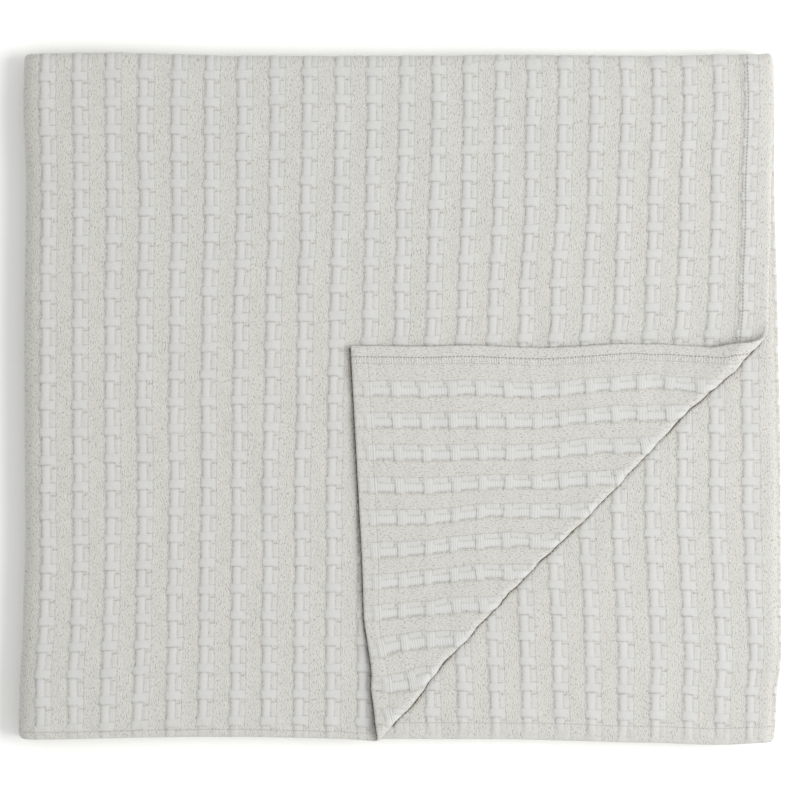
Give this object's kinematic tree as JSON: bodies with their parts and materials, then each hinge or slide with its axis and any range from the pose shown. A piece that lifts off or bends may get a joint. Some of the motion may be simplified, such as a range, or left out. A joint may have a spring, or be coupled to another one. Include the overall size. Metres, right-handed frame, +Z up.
{
  "type": "duvet cover",
  "caption": "Folded duvet cover in off-white ribbed matelasse cotton, with the near right corner of its top layer turned back.",
  "frame": {"origin": "middle of the folded pile's box, on the surface that it lies on", "axes": "+Z up from the surface, +Y from the hemmed near edge towards the folded far edge, +X towards the turned-back corner's side"},
  "size_m": [0.744, 0.678, 0.0459],
  "materials": {
    "front_cloth": "matte off-white cotton matelasse with raised ribs",
    "back_cloth": "matte off-white cotton matelasse with raised ribs"
  },
  "bodies": {
    "root": {"front_panel": "front_cloth", "back_panel": "back_cloth"}
  },
  "joints": []
}
